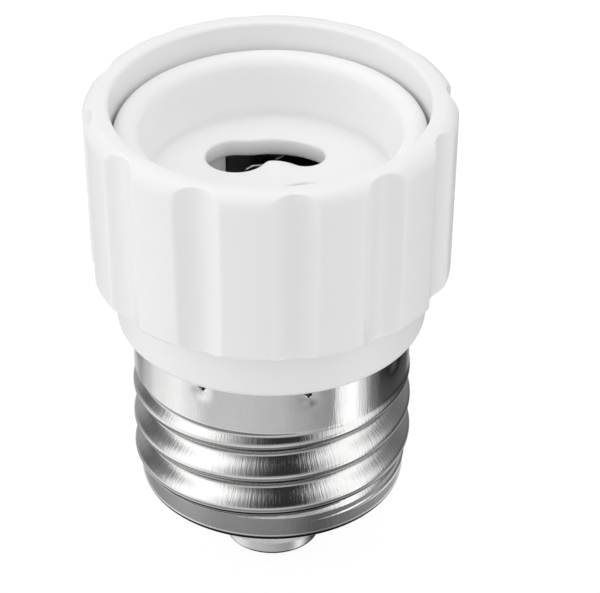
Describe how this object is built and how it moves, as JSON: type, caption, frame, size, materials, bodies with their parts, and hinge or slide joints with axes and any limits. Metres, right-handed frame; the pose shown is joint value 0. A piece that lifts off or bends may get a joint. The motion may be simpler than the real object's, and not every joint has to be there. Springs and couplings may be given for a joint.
{
  "type": "lamp socket adapter",
  "caption": "Screw-base lamp socket adapter: a white fluted ring round a twist-lock socket for a lamp with two pins, on a threaded metal shell with a centre contact.",
  "frame": {"origin": "lowest point of the centre contact, on the axis", "axes": "+Z along the axis towards the socket's mouth, front towards -Y"},
  "size_m": [0.0342, 0.0342, 0.0485],
  "materials": {
    "ring_plastic": "moulded, soft gloss",
    "insert_plastic": "moulded, soft gloss",
    "body_plastic": "moulded, soft gloss",
    "plate_plastic": "moulded, matt",
    "screw_steel": "zinc plated",
    "spring_metal": "nickel-plated strip",
    "shell_nickel": "rolled sheet, bright nickel plate",
    "contact_nickel": "nickel plate, satin",
    "tag_brass": "bare brass",
    "lead_copper": "bare copper wire",
    "sleeve_brown": "silicone sleeve",
    "sleeve_blue": "silicone sleeve",
    "solder": "dull solder"
  },
  "bodies": {
    "root": {"fluted_ring": "ring_plastic", "socket_insert": "insert_plastic", "base_body": "body_plastic", "back_plate": "plate_plastic", "plate_screw_left": "screw_steel", "plate_screw_right": "screw_steel", "contact_spring_live": "spring_metal", "contact_spring_neutral": "spring_metal", "screw_shell": "shell_nickel", "centre_contact": "contact_nickel", "solder_tag": "tag_brass", "live_core": "lead_copper", "neutral_core": "lead_copper", "live_sleeve": "sleeve_brown", "neutral_sleeve": "sleeve_blue", "live_solder": "solder", "neutral_solder": "solder", "tip_solder": "solder"}
  },
  "joints": []
}
